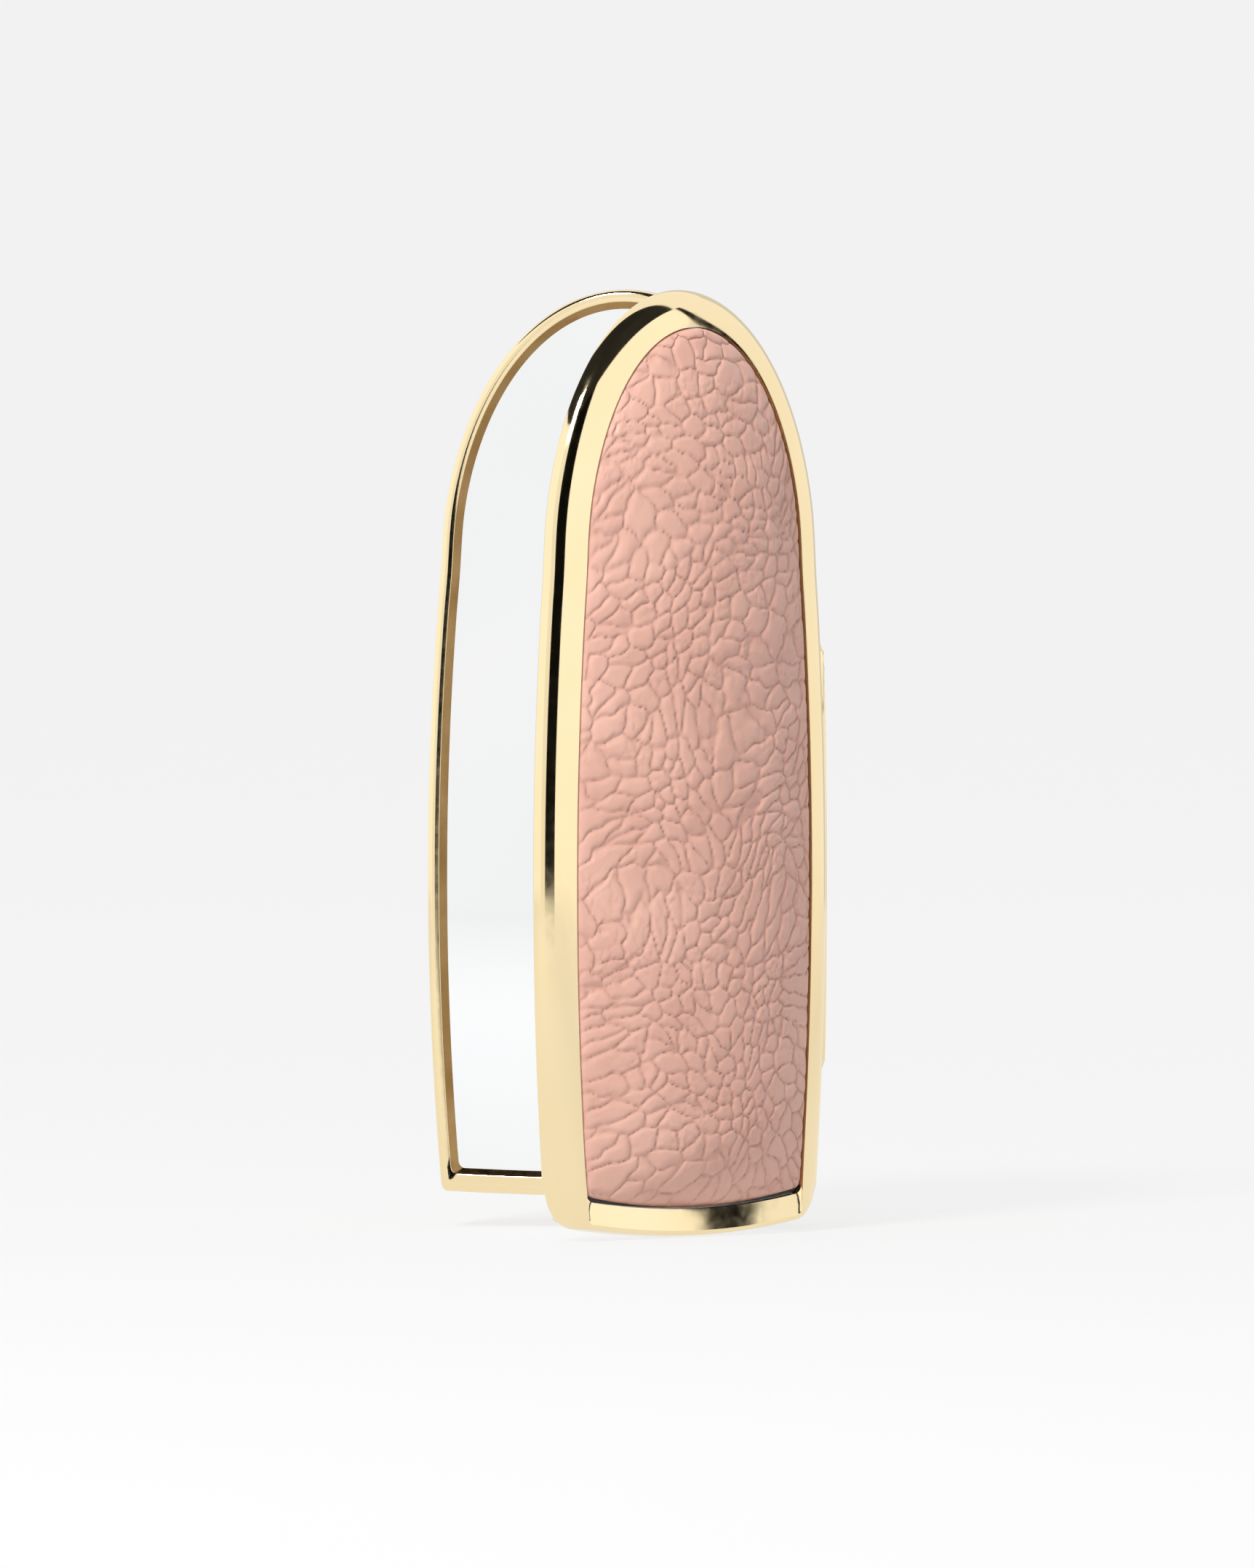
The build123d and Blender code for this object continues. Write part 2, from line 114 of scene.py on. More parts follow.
# The leather panel
LEATHER_RISE = 3.2 * MM
LEATHER_EDGE = 0.12 * MM


def side_x(z, inset):
    """Half-width of the bowed side at height z."""
    bow = SIDE_RADIUS - inset
    return HALF_WIDTH - SIDE_RADIUS + math.sqrt(bow**2 - (z - WIDEST_Z) ** 2)


def smooth(t):
    t = min(max(t, 0.0), 1.0)
    return t * t * (3 - 2 * t)


def dome_x(z, inset):
    """Half-width at height z on the dome, eased in from the bowed side."""
    rise = TOP_Z - DOME_BASE_Z - inset
    sine = min(max((z - DOME_BASE_Z) / rise, 0.0), 1.0)
    ellipse = (DOME_HALF_WIDTH - inset) * math.sqrt(1 - sine * sine)
    ease = smooth((z - SIDE_TOP_Z) / BLEND_HEIGHT)
    return side_x(z, inset) * (1 - ease) + ellipse * ease


def hem_height(x, hem_z, sag):
    return hem_z + sag * (x / HALF_WIDTH) ** 2


def half_outline(inset, hem_z, sag, corner):
    """Points from the middle of the hem, round the right side, to the crest."""
    points = []
    edge_x = side_x(hem_z + sag, inset)
    centre_x = edge_x - corner
    slope = math.atan(2 * sag * centre_x / HALF_WIDTH**2)
    centre_z = hem_height(centre_x, hem_z, sag) + corner / math.cos(slope)
    for i in range(HEM_STEPS):
        x = (centre_x + corner * math.sin(slope)) * i / HEM_STEPS
        points.append((x, hem_height(x, hem_z, sag)))
    for i in range(CORNER_STEPS):
        angle = -math.pi / 2 + slope + (math.pi / 2 - slope) * i / CORNER_STEPS
        points.append((centre_x + corner * math.cos(angle), centre_z + corner * math.sin(angle)))
    for i in range(SIDE_STEPS):
        z = centre_z + (SIDE_TOP_Z - centre_z) * i / SIDE_STEPS
        points.append((side_x(z, inset), z))
    rise = TOP_Z - DOME_BASE_Z - inset
    first = math.asin((SIDE_TOP_Z - DOME_BASE_Z) / rise)
    for i in range(DOME_STEPS + 1):
        u = first + (math.pi / 2 - first) * i / DOME_STEPS
        z = DOME_BASE_Z + rise * math.sin(u)
        points.append((dome_x(z, inset), z))
    return points


def outline(inset, hem_z, sag, corner):
    """The whole closed outline."""
    right = half_outline(inset, hem_z, sag, corner)
    left = [(-x, z) for x, z in reversed(right[1:-1])]
    return right + left


# ---- mesh helpers ----


def new_piece(name, vertices, faces, material, body, replaced=()):
    """A smooth-shaded mesh object that rides on a body."""
    mesh = bpy.data.meshes.new(name)
    mesh.from_pydata(vertices, [], faces)
    mesh.update()
    mesh.polygons.foreach_set("use_smooth", [True] * len(mesh.polygons))
    piece = bpy.data.objects.new(name, mesh)
    bpy.context.scene.collection.objects.link(piece)
    piece.data.materials.append(material)
    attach(piece, body)
    if replaced:
        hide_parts(*replaced)
    return piece


def swing(point):
    """A point of the shut cover, turned about the hinge to the rest pose."""
    x, y, z = point[0] - HINGE_X, point[1] - PARTING_Y, point[2]
    c, s = math.cos(OPEN_ANGLE), math.sin(OPEN_ANGLE)
    return (HINGE_X + x * c - y * s, PARTING_Y + x * s + y * c, z)


def clear_barrel(x, z, depth):
    """Deepens the parting face round the hinge barrel."""
    if x < 0 or not BARREL_Z[0] < z < BARREL_Z[1]:
        return depth
    across = abs(x - HINGE_X)
    if across >= BARREL_CLEAR:
        return depth
    return max(depth, math.sqrt(BARREL_CLEAR**2 - across**2))


def ring_mesh(stations, outline_of, place):
    """Sweeps a closed profile of (inset, foot, depth) stations round the case outline."""
    vertices = []
    for inset, foot, depth in stations:
        for x, z in outline_of(inset, foot):
            vertices.append(place(x, z, clear_barrel(x, z, depth)))
    count = len(outline_of(0, 0))
    rings = len(stations)
    faces = []
    for ring in range(rings):
        after = (ring + 1) % rings
        for i in range(count):
            j = (i + 1) % count
            faces.append((ring * count + i, ring * count + j, after * count + j, after * count + i))
    return vertices, faces


def face_outward(piece):
    """Turns all faces outward."""
    work = bmesh.new()
    work.from_mesh(piece.data)
    bmesh.ops.recalc_face_normals(work, faces=work.faces)
    work.to_mesh(piece.data)
    work.free()


def sharpen(piece, degrees=38):
    """Keeps crisp edges between smooth faces."""
    work = bmesh.new()
    work.from_mesh(piece.data)
    limit = math.radians(degrees)
    for edge in work.edges:
        if len(edge.link_faces) == 2 and edge.calc_face_angle(0) > limit:
            edge.smooth = False
    work.to_mesh(piece.data)
    work.free()


# ---- material helpers ----


def new_material(name):
    material = bpy.data.materials.new(name)
    material.use_nodes = True
    return material, material.node_tree.nodes, material.node_tree.links


def shader_of(nodes):
    return nodes["Principled BSDF"]


def object_noise(nodes, links, scale, detail=4.0, stretch=(1, 1, 1), rough=0.5):
    """Noise in object space, stretched along an axis if wished."""
    place = nodes.new("ShaderNodeTexCoord")
    mapping = nodes.new("ShaderNodeMapping")
    mapping.inputs["Scale"].default_value = stretch
    texture = nodes.new("ShaderNodeTexNoise")
    texture.inputs["Scale"].default_value = scale
    texture.inputs["Detail"].default_value = detail
    texture.inputs["Roughness"].default_value = rough
    links.new(place.outputs["Object"], mapping.inputs["Vector"])
    links.new(mapping.outputs["Vector"], texture.inputs["Vector"])
    return texture.outputs["Fac"]


def ramp(nodes, links, source, stops):
    """A colour ramp from a factor."""
    node = nodes.new("ShaderNodeValToRGB")
    band = node.color_ramp
    while len(band.elements) < len(stops):
        band.elements.new(0.5)
    for element, (position, colour) in zip(band.elements, stops):
        element.position = position
        element.color = (*colour, 1.0)
    links.new(source, node.inputs["Fac"])
    return node.outputs["Color"]


def grey(value):
    return (value, value, value)


def varied_roughness(nodes, links, scale, low, high, stretch=(1, 1, 1)):
    source = object_noise(nodes, links, scale, stretch=stretch)
    level = ramp(nodes, links, source, [(0.3, grey(low)), (0.7, grey(high))])
    links.new(level, shader_of(nodes).inputs["Roughness"])


def bumped(nodes, links, source, strength, distance):
    bump = nodes.new("ShaderNodeBump")
    bump.inputs["Strength"].default_value = strength
    bump.inputs["Distance"].default_value = distance
    links.new(source, bump.inputs["Height"])
    links.new(bump.outputs["Normal"], shader_of(nodes).inputs["Normal"])


def polished_gold():
    material, nodes, links = new_material("gold_polished")
    shader = shader_of(nodes)
    shader.inputs["Metallic"].default_value = 1.0
    tint = object_noise(nodes, links, 60, 2)
    colour = ramp(nodes, links, tint, [(0.25, (0.93, 0.75, 0.44)), (0.75, (0.96, 0.795, 0.50))])
    links.new(colour, shader.inputs["Base Color"])
    varied_roughness(nodes, links, 900, 0.045, 0.085)
    return material


def satin_gold():
    material, nodes, links = new_material("gold_satin")
    shader = shader_of(nodes)
    shader.inputs["Metallic"].default_value = 1.0
    tint = object_noise(nodes, links, 300, 3)
    colour = ramp(nodes, links, tint, [(0.3, (0.78, 0.58, 0.29)), (0.7, (0.86, 0.66, 0.36))])
    links.new(colour, shader.inputs["Base Color"])
    varied_roughness(nodes, links, 1500, 0.25, 0.38, (1, 8, 1))
    bumped(nodes, links, object_noise(nodes, links, 2500, 2, (1, 8, 1)), 0.15, 0.00002)
    return material


def chamfer_painted_shade_gold():
    """Gold darkened to a deep brown with painted shade, for the mirror rim's inner chamfer recess."""
    material, nodes, links = new_material("gold_chamfer_painted_shade")
    shader = shader_of(nodes)
    shader.inputs["Metallic"].default_value = 1.0
    tint = object_noise(nodes, links, 200, 3)
    colour = ramp(nodes, links, tint, [(0.3, (0.30, 0.17, 0.06)), (0.7, (0.42, 0.26, 0.11))])
    links.new(colour, shader.inputs["Base Color"])
    varied_roughness(nodes, links, 1200, 0.12, 0.2)
    return material


def brushed_steel(name, colour, low, high):
    material, nodes, links = new_material(name)
    shader = shader_of(nodes)
    shader.inputs["Metallic"].default_value = 1.0
    lines = object_noise(nodes, links, 700, 3, (1, 1, 14))
    pale = tuple(min(1.0, c * 1.15) for c in colour)
    links.new(ramp(nodes, links, lines, [(0.3, colour), (0.7, pale)]), shader.inputs["Base Color"])
    varied_roughness(nodes, links, 900, low, high, (1, 1, 14))
    bumped(nodes, links, lines, 0.2, 0.00001)
    return material


def mirror_glass():
    material, nodes, links = new_material("mirror_glass")
    shader = shader_of(nodes)
    shader.inputs["Metallic"].default_value = 1.0
    haze = object_noise(nodes, links, 40, 2)
    colour = ramp(nodes, links, haze, [(0.3, (0.94, 0.95, 0.955)), (0.7, (0.97, 0.97, 0.975))])
    links.new(colour, shader.inputs["Base Color"])
    varied_roughness(nodes, links, 120, 0.004, 0.016)
    return material


def plastic(name, colour, low, high, grain=4000, depth=0.00002):
    material, nodes, links = new_material(name)
    shader = shader_of(nodes)
    tint = object_noise(nodes, links, 200, 3)
    pale = tuple(min(1.0, c * 1.3 + 0.004) for c in colour)
    links.new(ramp(nodes, links, tint, [(0.3, colour), (0.7, pale)]), shader.inputs["Base Color"])
    varied_roughness(nodes, links, 800, low, high)
    bumped(nodes, links, object_noise(nodes, links, grain, 2), 0.3, depth)
    return material


def pebbled_leather():
    """Dusty rose full-grain leather: creases darkened with painted shade read from the mesh, pores and fine
    wrinkles from bump.
    """
    material, nodes, links = new_material("leather_rose")
    shader = shader_of(nodes)
    crease_shade = nodes.new("ShaderNodeAttribute")
    crease_shade.attribute_name = "crease_shade"
    blotch = object_noise(nodes, links, 110, 4)
    base = ramp(nodes, links, blotch, [(0.3, (0.635, 0.345, 0.270)), (0.7, (0.715, 0.410, 0.325))])
    # painted shade: the base colour darkens towards a deeper rose in the creases
    crease_shade_mix = nodes.new("ShaderNodeMix")
    crease_shade_mix.data_type = "RGBA"
    crease_shade_mix.inputs["B"].default_value = (0.50, 0.235, 0.175, 1.0)
    links.new(base, crease_shade_mix.inputs["A"])
    links.new(crease_shade.outputs["Fac"], crease_shade_mix.inputs["Factor"])
    links.new(crease_shade_mix.outputs["Result"], shader.inputs["Base Color"])
    varied_roughness(nodes, links, 1400, 0.42, 0.56)
    shader.inputs["Specular IOR Level"].default_value = 0.5
    shader.inputs["Sheen Weight"].default_value = 0.12
    shader.inputs["Sheen Roughness"].default_value = 0.5
    grain = object_noise(nodes, links, 3200, 6, rough=0.65)
    wrinkles = object_noise(nodes, links, 900, 4, (1.6, 1, 0.6))
    both = nodes.new("ShaderNodeMath")
    both.operation = "MULTIPLY_ADD"
    both.inputs[1].default_value = 0.6
    links.new(wrinkles, both.inputs[0])
    links.new(grain, both.inputs[2])
    bumped(nodes, links, both.outputs[0], 0.35, 0.00009)
    return material


GOLD = polished_gold()
MATERIALS = {
    "gold": GOLD,
    "dark_gold": satin_gold(),
    # the chamfer's gold is darkened with painted shade
    "chamfer": chamfer_painted_shade_gold(),
    "mirror": mirror_glass(),
    "film": plastic("adhesive_film", (0.72, 0.70, 0.64), 0.5, 0.7),
    "steel": brushed_steel("steel_brushed", (0.50, 0.50, 0.51), 0.22, 0.36),
    "spring_steel": brushed_steel("steel_spring", (0.34, 0.34, 0.36), 0.2, 0.3),
    "liner": brushed_steel("liner_anodised", (0.66, 0.49, 0.25), 0.28, 0.4),
    "black_plastic": plastic("plastic_black", (0.012, 0.012, 0.014), 0.38, 0.52),
    "rubber": plastic("silicone_black", (0.02, 0.02, 0.02), 0.6, 0.8, 2500),
    "leather": pebbled_leather(),
}


def dress_cad_nodes():
    """Gives every carried-over CAD node its slot's material."""
    slots = {part["node"]: part["material_slot"] for part in frame["record"]["subparts"]}
    for name, node in frame["nodes"].items():
        node.data.materials.clear()
        node.data.materials.append(MATERIALS[slots[name]])


# ---- the polished frames ----


def cover_outline(inset, foot):
    return outline(inset, foot, COVER_HEM_SAG, max(COVER_CORNER - inset, LEAST_CORNER))


def rear_outline(inset, foot):
    return outline(inset, REAR_HEM_Z + foot, REAR_HEM_SAG, REAR_CORNER)


def rear_place(x, z, depth):
    return (x, PARTING_Y + depth, z)


def cover_place(x, z, depth):
    """A point of the shut cover with the foot band's slight bulge, swung to rest."""
    full, gone = FOOT_FADE_Z
    low = 1 - smooth((z - full) / (gone - full))
    bulge = FOOT_BULGE * low * max(0.0, 1 - (x / (HALF_WIDTH - BEZEL_WIDTH)) ** 2)
    bulge *= min(max(depth / COVER_DEPTH, 0.0), 1.0)
    return swing((x, PARTING_Y - depth - bulge, z))


def bezel_stations():
    """The cover frame's section: pocket, parting edge, rounded outside, land and leather opening."""
    stations = [(COVER_POCKET, POCKET_FOOT, POCKET_DEPTH)]
    stations.append((COVER_POCKET, POCKET_FOOT, HALF_GAP))
    stations.append((BACK_EDGE, BACK_EDGE, HALF_GAP))
    for i in range(BEZEL_STEPS + 1):
        t = math.radians(BEZEL_FIRST_DEG + (90 - BEZEL_FIRST_DEG) * i / BEZEL_STEPS)
        ease = 1 - math.cos(t)
        depth = HALF_GAP + (COVER_DEPTH - HALF_GAP) * math.sin(t)
        stations.append((BEZEL_WIDTH * ease, HEM_ROUNDING * ease, depth))
    for part in (0.15, 0.5, 0.85):
        foot = HEM_ROUNDING + (BEZEL_FOOT - HEM_ROUNDING) * part
        stations.append((BEZEL_WIDTH + 0.01 * MM * part, foot, COVER_DEPTH - FOOT_LEAN * part))
    stations.append((BEZEL_WIDTH + 0.02 * MM, BEZEL_FOOT, COVER_DEPTH - FOOT_LEAN - LIP))
    stations.append((BEZEL_WIDTH + 0.02 * MM, BEZEL_FOOT + 0.02 * MM, POCKET_DEPTH))
    return stations


def make_cover_bezel():
    vertices, faces = ring_mesh(bezel_stations(), cover_outline, cover_place)
    piece = new_piece("cover_bezel", vertices, faces, GOLD, "cover", ["cover_frame"])
    face_outward(piece)
    sharpen(piece)


def rim_stations():
    """The mirror rim's section: rounded outside, flat land, chamfer, lip and glass pocket."""
    stations = [(RIM_POCKET, RIM_FOOT_FLAT, RIM_LIP), (RIM_POCKET, RIM_FOOT_FLAT, RIM_BACK)]
    stations.append((0.0, 0.0, RIM_BACK))
    for i in range(RIM_STEPS + 1):
        t = math.pi / 2 * (1 - i / RIM_STEPS)
        inset = RIM_EDGE * (1 - math.sin(t))
        stations.append((inset, inset * RIM_HEM_SHARE, HALF_GAP + RIM_EDGE * (1 - math.cos(t))))
    stations.append((RIM_FLAT - 2 * LIP, RIM_FOOT_FLAT - 2 * LIP, HALF_GAP))
    stations.append((RIM_FLAT, RIM_FOOT_FLAT, HALF_GAP + LIP))
    stations.append((RIM_WIDTH, RIM_FOOT, RIM_LIP - 0.02 * MM))
    stations.append((RIM_WIDTH, RIM_FOOT, RIM_LIP))
    return stations


def make_mirror_rim():
    vertices, faces = ring_mesh(rim_stations(), rear_outline, rear_place)
    piece = new_piece("mirror_rim", vertices, faces, GOLD, "rear_half", ["mirror_frame"])
    piece.data.materials.append(MATERIALS["chamfer"])
    # faces of the inner chamfer take the gold darkened with painted shade
    for face in piece.data.polygons:
        depths = [piece.data.vertices[i].co.y - PARTING_Y for i in face.vertices]
        spread = max(depths) - min(depths)
        if spread > CHAMFER_SPREAD and max(depths) < CHAMFER_FOOT:
            face.material_index = 1
    face_outward(piece)
    sharpen(piece, 30)


# ---- leather ----

PEBBLE = 2.15 * MM
PEBBLE_HEIGHT = 0.52 * MM
CREASE_TILT = math.radians(28)
LEATHER_COLUMNS = 170
LEATHER_ROWS = 430
DOME_SHARE = 0.30
COLUMN_SPREAD = 0.98
PANEL_HALF_WIDTH = 14.9 * MM
PANEL_CORNER = 1.0 * MM
PANEL_BACK = POCKET_DEPTH + 0.3 * MM
CROWN_FROM_FOOT = 9 * MM
CROWN_FROM_CREST = 22 * MM
EDGE_BELOW_FRAME = 0.42 * MM
TUCK_RISE = 0.38 * MM
TUCK_WIDTH = 0.55 * MM
GRAIN_FADE = 0.9 * MM
GRAIN_MIDDLE = 0.85

# Grain: bends and folds are in pebbles
BROAD_BEND = 2.6
FINE_BEND = 0.26
PEBBLE_SIZE = (1.15, 0.85)
WRINKLE_SIZE = (0.5, 0.4)
FOLD_SIZE = (3.5, 1.1)


def worley(x, z, seed):
    """Distances to the nearest and second-nearest of one jittered point a cell."""
    cell_x, cell_z = np.floor(x).astype(int), np.floor(z).astype(int)
    nearest = np.full(x.shape, 9.0)
    second = np.full(x.shape, 9.0)
    for dx in (-2, -1, 0, 1, 2):
        for dz in (-2, -1, 0, 1, 2):
            cx, cz = cell_x + dx, cell_z + dz
            jx = hashed(cx, cz, seed)
            jz = hashed(cx, cz, seed + 17)
            distance = np.hypot(cx + jx - x, cz + jz - z)
            second = np.where(distance < nearest, nearest, np.minimum(second, distance))
            nearest = np.minimum(nearest, distance)
    return nearest, second


def hashed(a, b, seed):
    """A repeatable value from 0 to 1 for a whole-number place."""
    mixed = (a * 374761393 + b * 668265263 + seed * 974634777) & 0x7FFFFFFF
    mixed = ((mixed ^ (mixed >> 13)) * 1274126177) & 0x7FFFFFFF
    return ((mixed ^ (mixed >> 16)) & 0xFFFF) / 65535.0


def value_noise(x, z, seed):
    """Smooth noise from 0 to 1."""
    cell_x, cell_z = np.floor(x).astype(int), np.floor(z).astype(int)
    fx, fz = x - cell_x, z - cell_z
    fx, fz = fx * fx * (3 - 2 * fx), fz * fz * (3 - 2 * fz)
    low = hashed(cell_x, cell_z, seed) * (1 - fx) + hashed(cell_x + 1, cell_z, seed) * fx
    high = hashed(cell_x, cell_z + 1, seed) * (1 - fx) + hashed(cell_x + 1, cell_z + 1, seed) * fx
    return low * (1 - fz) + high * fz


def noise_at(x, z, size, seed):
    """Smooth noise whose patches are so many pebbles across."""
    return value_noise(x / (size * PEBBLE), z / (size * PEBBLE), seed)


def bent(value, x, z, broad_seed, fine_seed):
    """A coordinate pushed about by broad and fine noise, so that no row of pebbles is straight."""
    value = value + (noise_at(x, z, 4, broad_seed) - 0.5) * BROAD_BEND * PEBBLE
    return value + (noise_at(x, z, 0.45, fine_seed) - 0.5) * FINE_BEND * PEBBLE


def cells(along, across, size, seed):
    """Worley distances for cells so many pebbles long and wide."""
    return worley(along / (PEBBLE * size[0]), across / (PEBBLE * size[1]), seed)


def domed(gap):
    """A quarter-round rise from a crease."""
    return np.sqrt(1 - (1 - gap) ** 2)


def grain(x, z):
    """Pebbled grain over the flat panel: its height, and the painted shade in its creases from 0 to 1, strongest
    deepest in a crease.
    """
    px, pz = bent(x, x, z, 3, 8), bent(z, x, z, 5, 9)
    c, s = math.cos(CREASE_TILT), math.sin(CREASE_TILT)
    along, across = px * c + pz * s, -px * s + pz * c
    nearest, second = cells(along, across, PEBBLE_SIZE, 1)
    sharpness = noise_at(x, z, 2.5, 11)
    major = np.clip((second - nearest) / (0.22 + 0.5 * sharpness), 0, 1)
    nearest, second = cells(along, across, WRINKLE_SIZE, 23)
    minor = np.clip((second - nearest) / 0.35, 0, 1)
    faint = np.clip((noise_at(x, z, 1.5, 31) - 0.3) * 2, 0, 1)
    long, wide = FOLD_SIZE
    fold = value_noise(along / (long * PEBBLE), across / (wide * PEBBLE), 41)
    height = 0.66 * domed(major) + 0.22 * (1 - faint * (1 - domed(minor))) + 0.30 * fold
    # painted shade in the creases, darker the deeper in a crease
    crease_shade = np.clip((1 - major) ** 5 * 0.3 + (1 - minor) ** 4 * faint * 0.2, 0, 1)
    return height, crease_shade


def leather_rows():
    """Heights of the rows at the panel's middle, closer together towards the crest."""
    low = BEZEL_FOOT + LEATHER_EDGE
    top = TOP_Z - BEZEL_WIDTH - LEATHER_EDGE
    straight = 1 - DOME_SHARE
    rows = []
    for i in range(LEATHER_ROWS + 1):
        v = i / LEATHER_ROWS
        if v <= straight:
            rows.append(low + (DOME_BASE_Z - low) * v / straight)
        else:
            u = (v - straight) / DOME_SHARE * math.pi / 2
            rows.append(DOME_BASE_Z + (top - DOME_BASE_Z) * math.sin(u))
    return rows, low, top


def leather_half_width(z):
    """Half-width of the leather at height z."""
    inset = BEZEL_WIDTH + LEATHER_EDGE
    if z < SIDE_TOP_Z:
        return side_x(z, inset)
    return dome_x(z, inset)


def column_places():
    """Places from -1 to 1 across the panel, somewhat closer together at its edges."""
    even = np.linspace(-1, 1, LEATHER_COLUMNS + 1)
    reach = math.pi / 2 * COLUMN_SPREAD
    return 0.5 * np.sin(even * reach) / math.sin(reach) + 0.5 * even


def panel_grid():
    """The x and z of every point of the leather's front, and the crest's height."""
    rows, low, top = leather_rows()
    places = column_places()
    xs = np.zeros((len(rows), len(places)))
    zs = np.zeros_like(xs)
    for r, z_mid in enumerate(rows):
        fade = (1 - (z_mid - low) / (top - low)) ** 3
        for k, place in enumerate(places):
            z = z_mid + COVER_HEM_SAG * (place * PANEL_HALF_WIDTH / HALF_WIDTH) ** 2 * fade
            xs[r, k] = place * max(leather_half_width(min(z, top)), 0.02 * MM)
            zs[r, k] = z
    corner_rounding(xs, zs)
    return xs, zs, top


def corner_rounding(xs, zs):
    """Rounds the panel's two lower corners a little by drawing its lowest rows in."""
    rise = np.clip((zs[:, -1:] - zs[0, -1]) / PANEL_CORNER, 0, 1)
    pull = PANEL_CORNER * (1 - domed(rise))
    half = np.abs(xs[:, -1:])
    xs *= 1 - pull / np.maximum(half, PANEL_CORNER)


def panel_depth(xs, zs, top, height):
    """How far forward each point stands: crowned, tucked under at its edges, and grained."""
    half = np.maximum(np.abs(xs[:, -1:]), 0.05 * MM)
    across = np.clip(np.abs(xs) / half, 0, 1)
    above_foot = zs - zs[0:1, :]
    foot = 1 - (1 - np.clip(above_foot / CROWN_FROM_FOOT, 0, 1)) ** 2.4
    crest = 1 - (1 - np.clip((top - zs) / CROWN_FROM_CREST, 0, 1)) ** 2.0
    crown = LEATHER_RISE * (1 - across**2) * foot * (0.25 + 0.75 * crest)
    edge_distance = np.minimum(half * (1 - across), above_foot)
    tuck = domed(np.clip(edge_distance / TUCK_WIDTH, 0, 1))
    soften = np.clip(edge_distance / GRAIN_FADE, 0, 1)
    depth = COVER_DEPTH - EDGE_BELOW_FRAME + TUCK_RISE * tuck + crown
    return depth + (height - GRAIN_MIDDLE) * PEBBLE_HEIGHT * (0.35 + 0.65 * soften)


def make_leather_skin():
    xs, zs, top = panel_grid()
    height, crease_shade = grain(xs, zs)
    leather_mesh(xs, zs, panel_depth(xs, zs, top, height), crease_shade)


def leather_mesh(xs, zs, depth, crease_shade):
    """Closes the front surface with a wall and a flat back, and stores the painted crease shade, full on the wall
    and back.
    """
    rows, columns = xs.shape
    vertices = []
    for r in range(rows):
        for k in range(columns):
            point = (float(xs[r, k]), PARTING_Y - float(depth[r, k]), float(zs[r, k]))
            vertices.append(swing(point))
    faces = []
    for r in range(rows - 1):
        for k in range(columns - 1):
            a = r * columns + k
            faces.append((a, a + 1, a + columns + 1, a + columns))
    rim = list(range(columns))
    rim += [r * columns + columns - 1 for r in range(1, rows)]
    rim += [(rows - 1) * columns + k for k in range(columns - 2, -1, -1)]
    rim += [r * columns for r in range(rows - 2, 0, -1)]
    start = len(vertices)
    for i in rim:
        r, k = divmod(i, columns)
        vertices.append(swing((float(xs[r, k]), PARTING_Y - PANEL_BACK, float(zs[r, k]))))
    count = len(rim)
    for i in range(count):
        j = (i + 1) % count
        faces.append((rim[j], rim[i], start + i, start + j))
    faces.append(tuple(start + i for i in reversed(range(count))))
    piece = new_piece(
        "leather_skin", vertices, faces, MATERIALS["leather"], "cover", ["leather_panel"]
    )
    shade = piece.data.attributes.new("crease_shade", "FLOAT", "POINT")
    # painted shade at full strength on the wall and the flat back
    values = np.concatenate([crease_shade.ravel(), np.ones(count)]).astype(np.float32)
    shade.data.foreach_set("value", values)
    face_outward(piece)


# ---- studio ----

CAMERA_AZIMUTH = math.radians(8)
CAMERA_ELEVATION = math.radians(1.5)
CAMERA_DISTANCE = 1.85
PHOTO_WIDTH = 1724
PIXELS_PER_METRE = 14870
SENSOR = 36.0
AIM = Vector((0.3 * MM, PARTING_Y, 41.1 * MM))
BACKDROP = 0.887
FLOOR_ALBEDO = 0.10
FLOOR_REACH = 12.0


def direction(azimuth, elevation):
    """Unit vector from the object towards a place at this azimuth and elevation."""
    flat = math.cos(elevation)
    return Vector((math.sin(azimuth) * flat, -math.cos(azimuth) * flat, math.sin(elevation)))


def look_at(thing, target):
    thing.rotation_euler = (target - thing.location).to_track_quat("-Z", "Y").to_euler()


def make_camera():
    data = bpy.data.cameras.new("camera")
    data.sensor_fit = "HORIZONTAL"
    data.sensor_width = SENSOR
    data.lens = PIXELS_PER_METRE * CAMERA_DISTANCE * SENSOR / PHOTO_WIDTH
    data.clip_end = 50
    camera = bpy.data.objects.new("camera", data)
    bpy.context.scene.collection.objects.link(camera)
    camera.location = AIM + direction(CAMERA_AZIMUTH, CAMERA_ELEVATION) * CAMERA_DISTANCE
    look_at(camera, AIM)
    bpy.context.scene.camera = camera


def area_light(name, azimuth, elevation, distance, size, power, glossy=False):
    data = bpy.data.lights.new(name, "AREA")
    data.shape = "RECTANGLE"
    data.size, data.size_y = size
    data.energy = power
    light = bpy.data.objects.new(name, data)
    bpy.context.scene.collection.objects.link(light)
    light.location = AIM + direction(math.radians(azimuth), math.radians(elevation)) * distance
    look_at(light, AIM)
    light.visible_camera = False
    light.visible_glossy = glossy


def emission(name, level):
    material, nodes, links = new_material(name)
    nodes.remove(shader_of(nodes))
    glow = nodes.new("ShaderNodeEmission")
    glow.inputs["Color"].default_value = (level, level, level, 1)
    links.new(glow.outputs["Emission"], nodes["Material Output"].inputs["Surface"])
    return material


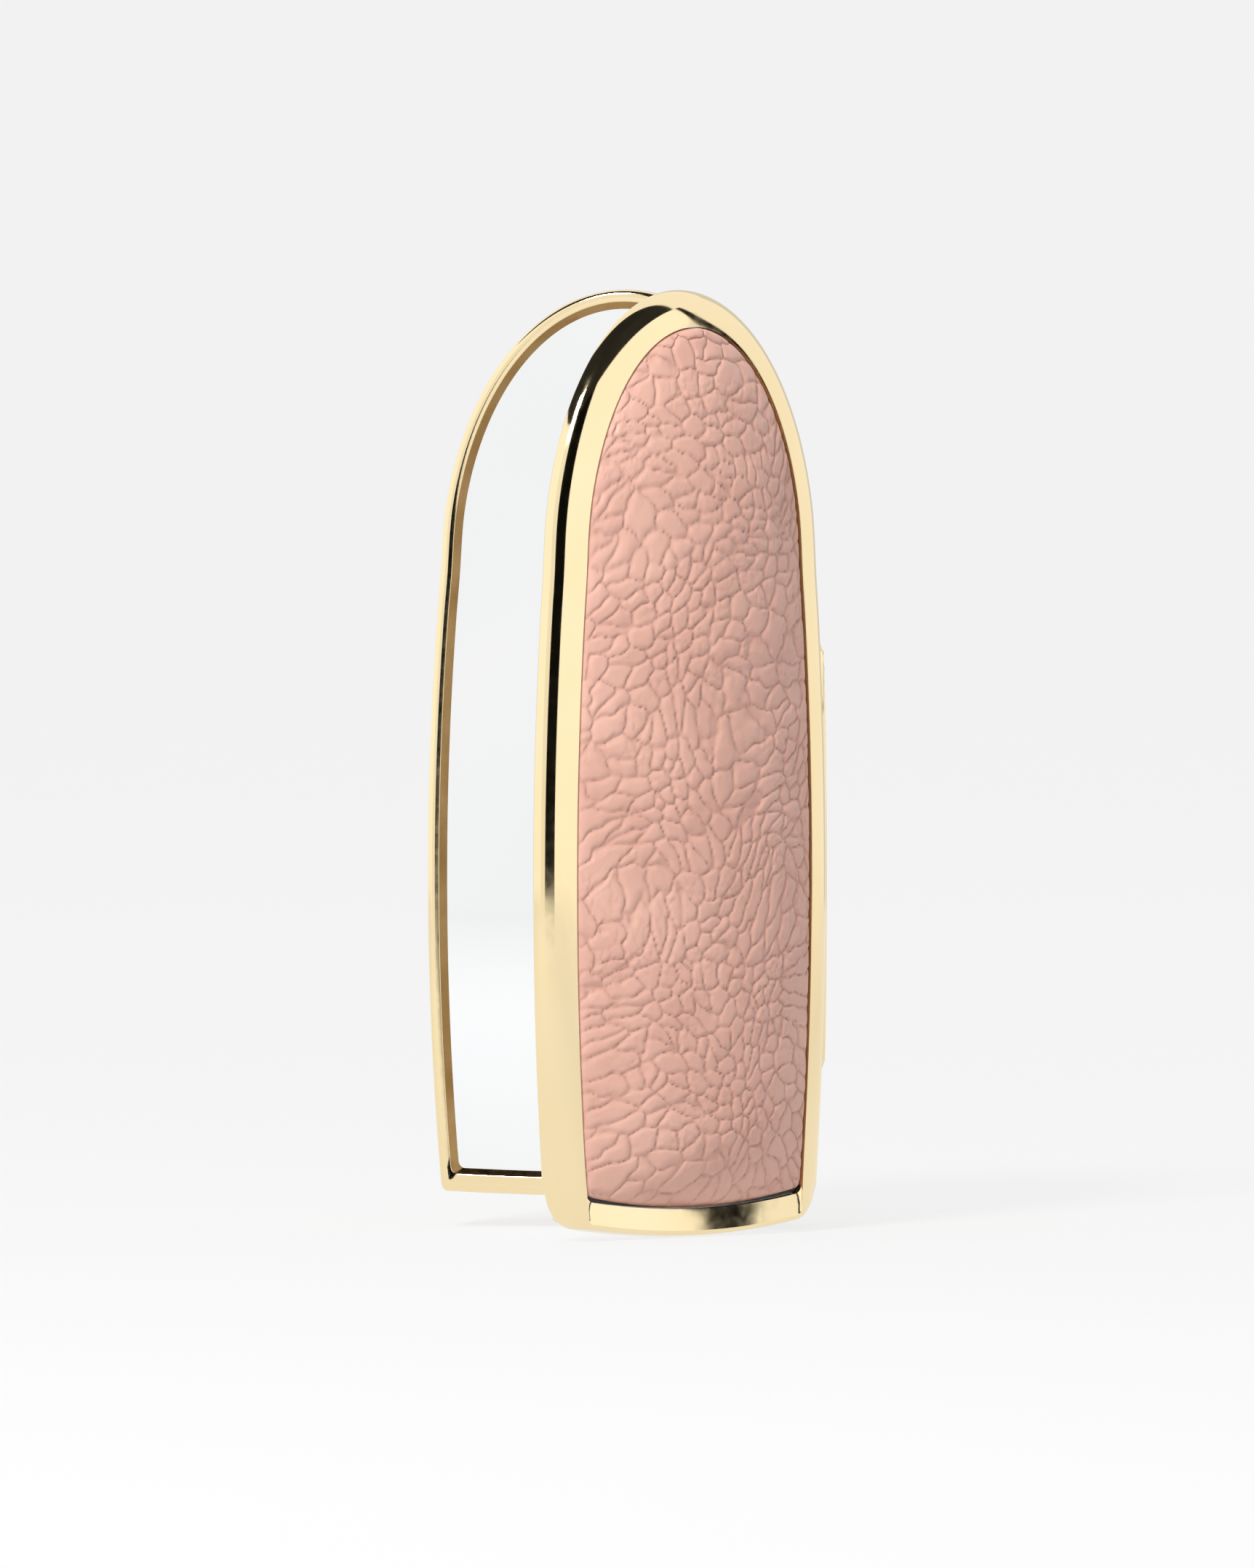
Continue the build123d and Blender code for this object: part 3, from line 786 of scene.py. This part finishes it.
def reflector(name, start, end, low, high, level, radius=0.9):
    """A curved studio panel round the object that only polished surfaces see."""
    vertices, faces = [], []
    steps = 24
    for i in range(steps + 1):
        azimuth = math.radians(start + (end - start) * i / steps)
        for elevation in (low, high):
            rise = radius * math.tan(math.radians(elevation))
            side = direction(azimuth, 0) * radius
            vertices.append((AIM.x + side.x, AIM.y + side.y, AIM.z + rise))
    for i in range(steps):
        a = 2 * i
        faces.append((a, a + 2, a + 3, a + 1))
    return add_stage(name, vertices, faces, emission(name, level))


def add_stage(name, vertices, faces, material, reflection_only=True):
    mesh = bpy.data.meshes.new(name)
    mesh.from_pydata(vertices, [], faces)
    panel = bpy.data.objects.new(name, mesh)
    bpy.context.scene.collection.objects.link(panel)
    mesh.materials.append(material)
    if reflection_only:
        panel.visible_camera = False
        panel.visible_diffuse = False
        panel.visible_shadow = False
        panel.visible_transmission = False
    return panel


PANEL_ELEVATIONS = (-50, 62)
# name, first and last azimuth in degrees, and brightness
PANELS = [
    ("panel_far_left", -150, -24, 1.1),
    ("panel_left", -24, -4, 0.93),
    ("gap_front", -4, 31, 0.004),
    ("panel_right", 31, 95.5, 1.12),
    ("flag_right", 95.5, 99, 0.004),
    ("panel_far_right", 99, 150, 1.0),
    ("panel_back", 150, 210, 0.7),
]


def make_reflectors():
    """Pale panels all round, with a dark gap in front and a narrow dark flag on the right."""
    for name, start, end, level in PANELS:
        reflector(name, start, end, *PANEL_ELEVATIONS, level)


def make_shade():
    """A black card on the right that takes ambient light off the leather's far side."""
    card = reflector("shade_card", 30, 130, -4, 55, 0.0, 0.5)
    card.visible_glossy = False
    card.visible_diffuse = True


ROOF_HEIGHT = 0.7


def make_roof():
    """The overhead panel, with a dark front half."""
    height = AIM.z + ROOF_HEIGHT
    front, middle, back, side = -1.3, 0.05, 1.3, 1.3
    dark = [(-side, front, height), (side, front, height), (side, middle, height), (-side, middle, height)]
    pale = [(-side, middle, height), (side, middle, height), (side, back, height), (-side, back, height)]
    add_stage("roof_front", dark, [(0, 1, 2, 3)], emission("roof_front", 0.02))
    add_stage("roof_back", pale, [(0, 1, 2, 3)], emission("roof_back", 1.0))


def floor_material():
    material, nodes, _ = new_material("studio_floor")
    shader = shader_of(nodes)
    shader.inputs["Base Color"].default_value = (*grey(FLOOR_ALBEDO), 1)
    shader.inputs["Roughness"].default_value = 0.9
    shader.inputs["Specular IOR Level"].default_value = 0.0
    shader.inputs["Emission Color"].default_value = (BACKDROP, BACKDROP, BACKDROP, 1)
    shader.inputs["Emission Strength"].default_value = 1 - FLOOR_ALBEDO
    return material


def make_floor():
    reach = FLOOR_REACH
    corners = [(-reach, -reach, 0), (reach, -reach, 0), (reach, reach, 0), (-reach, reach, 0)]
    add_stage("floor", corners, [(0, 1, 2, 3)], floor_material(), reflection_only=False)


def make_world():
    world = bpy.data.worlds.new("studio")
    world.use_nodes = True
    background = world.node_tree.nodes["Background"]
    background.inputs["Color"].default_value = (BACKDROP, BACKDROP, BACKDROP, 1)
    background.inputs["Strength"].default_value = 1.0
    scene = bpy.context.scene
    scene.world = world
    scene.view_settings.view_transform = "Standard"


def make_lights():
    area_light("key", -16, 40, 0.8, (0.16, 0.2), 5.6, glossy=True)
    area_light("fill", 110, 20, 1.0, (0.6, 0.6), 3.0)


dress_cad_nodes()
make_cover_bezel()
make_mirror_rim()
make_leather_skin()
make_camera()
make_reflectors()
make_roof()
make_shade()
make_floor()
make_world()
make_lights()
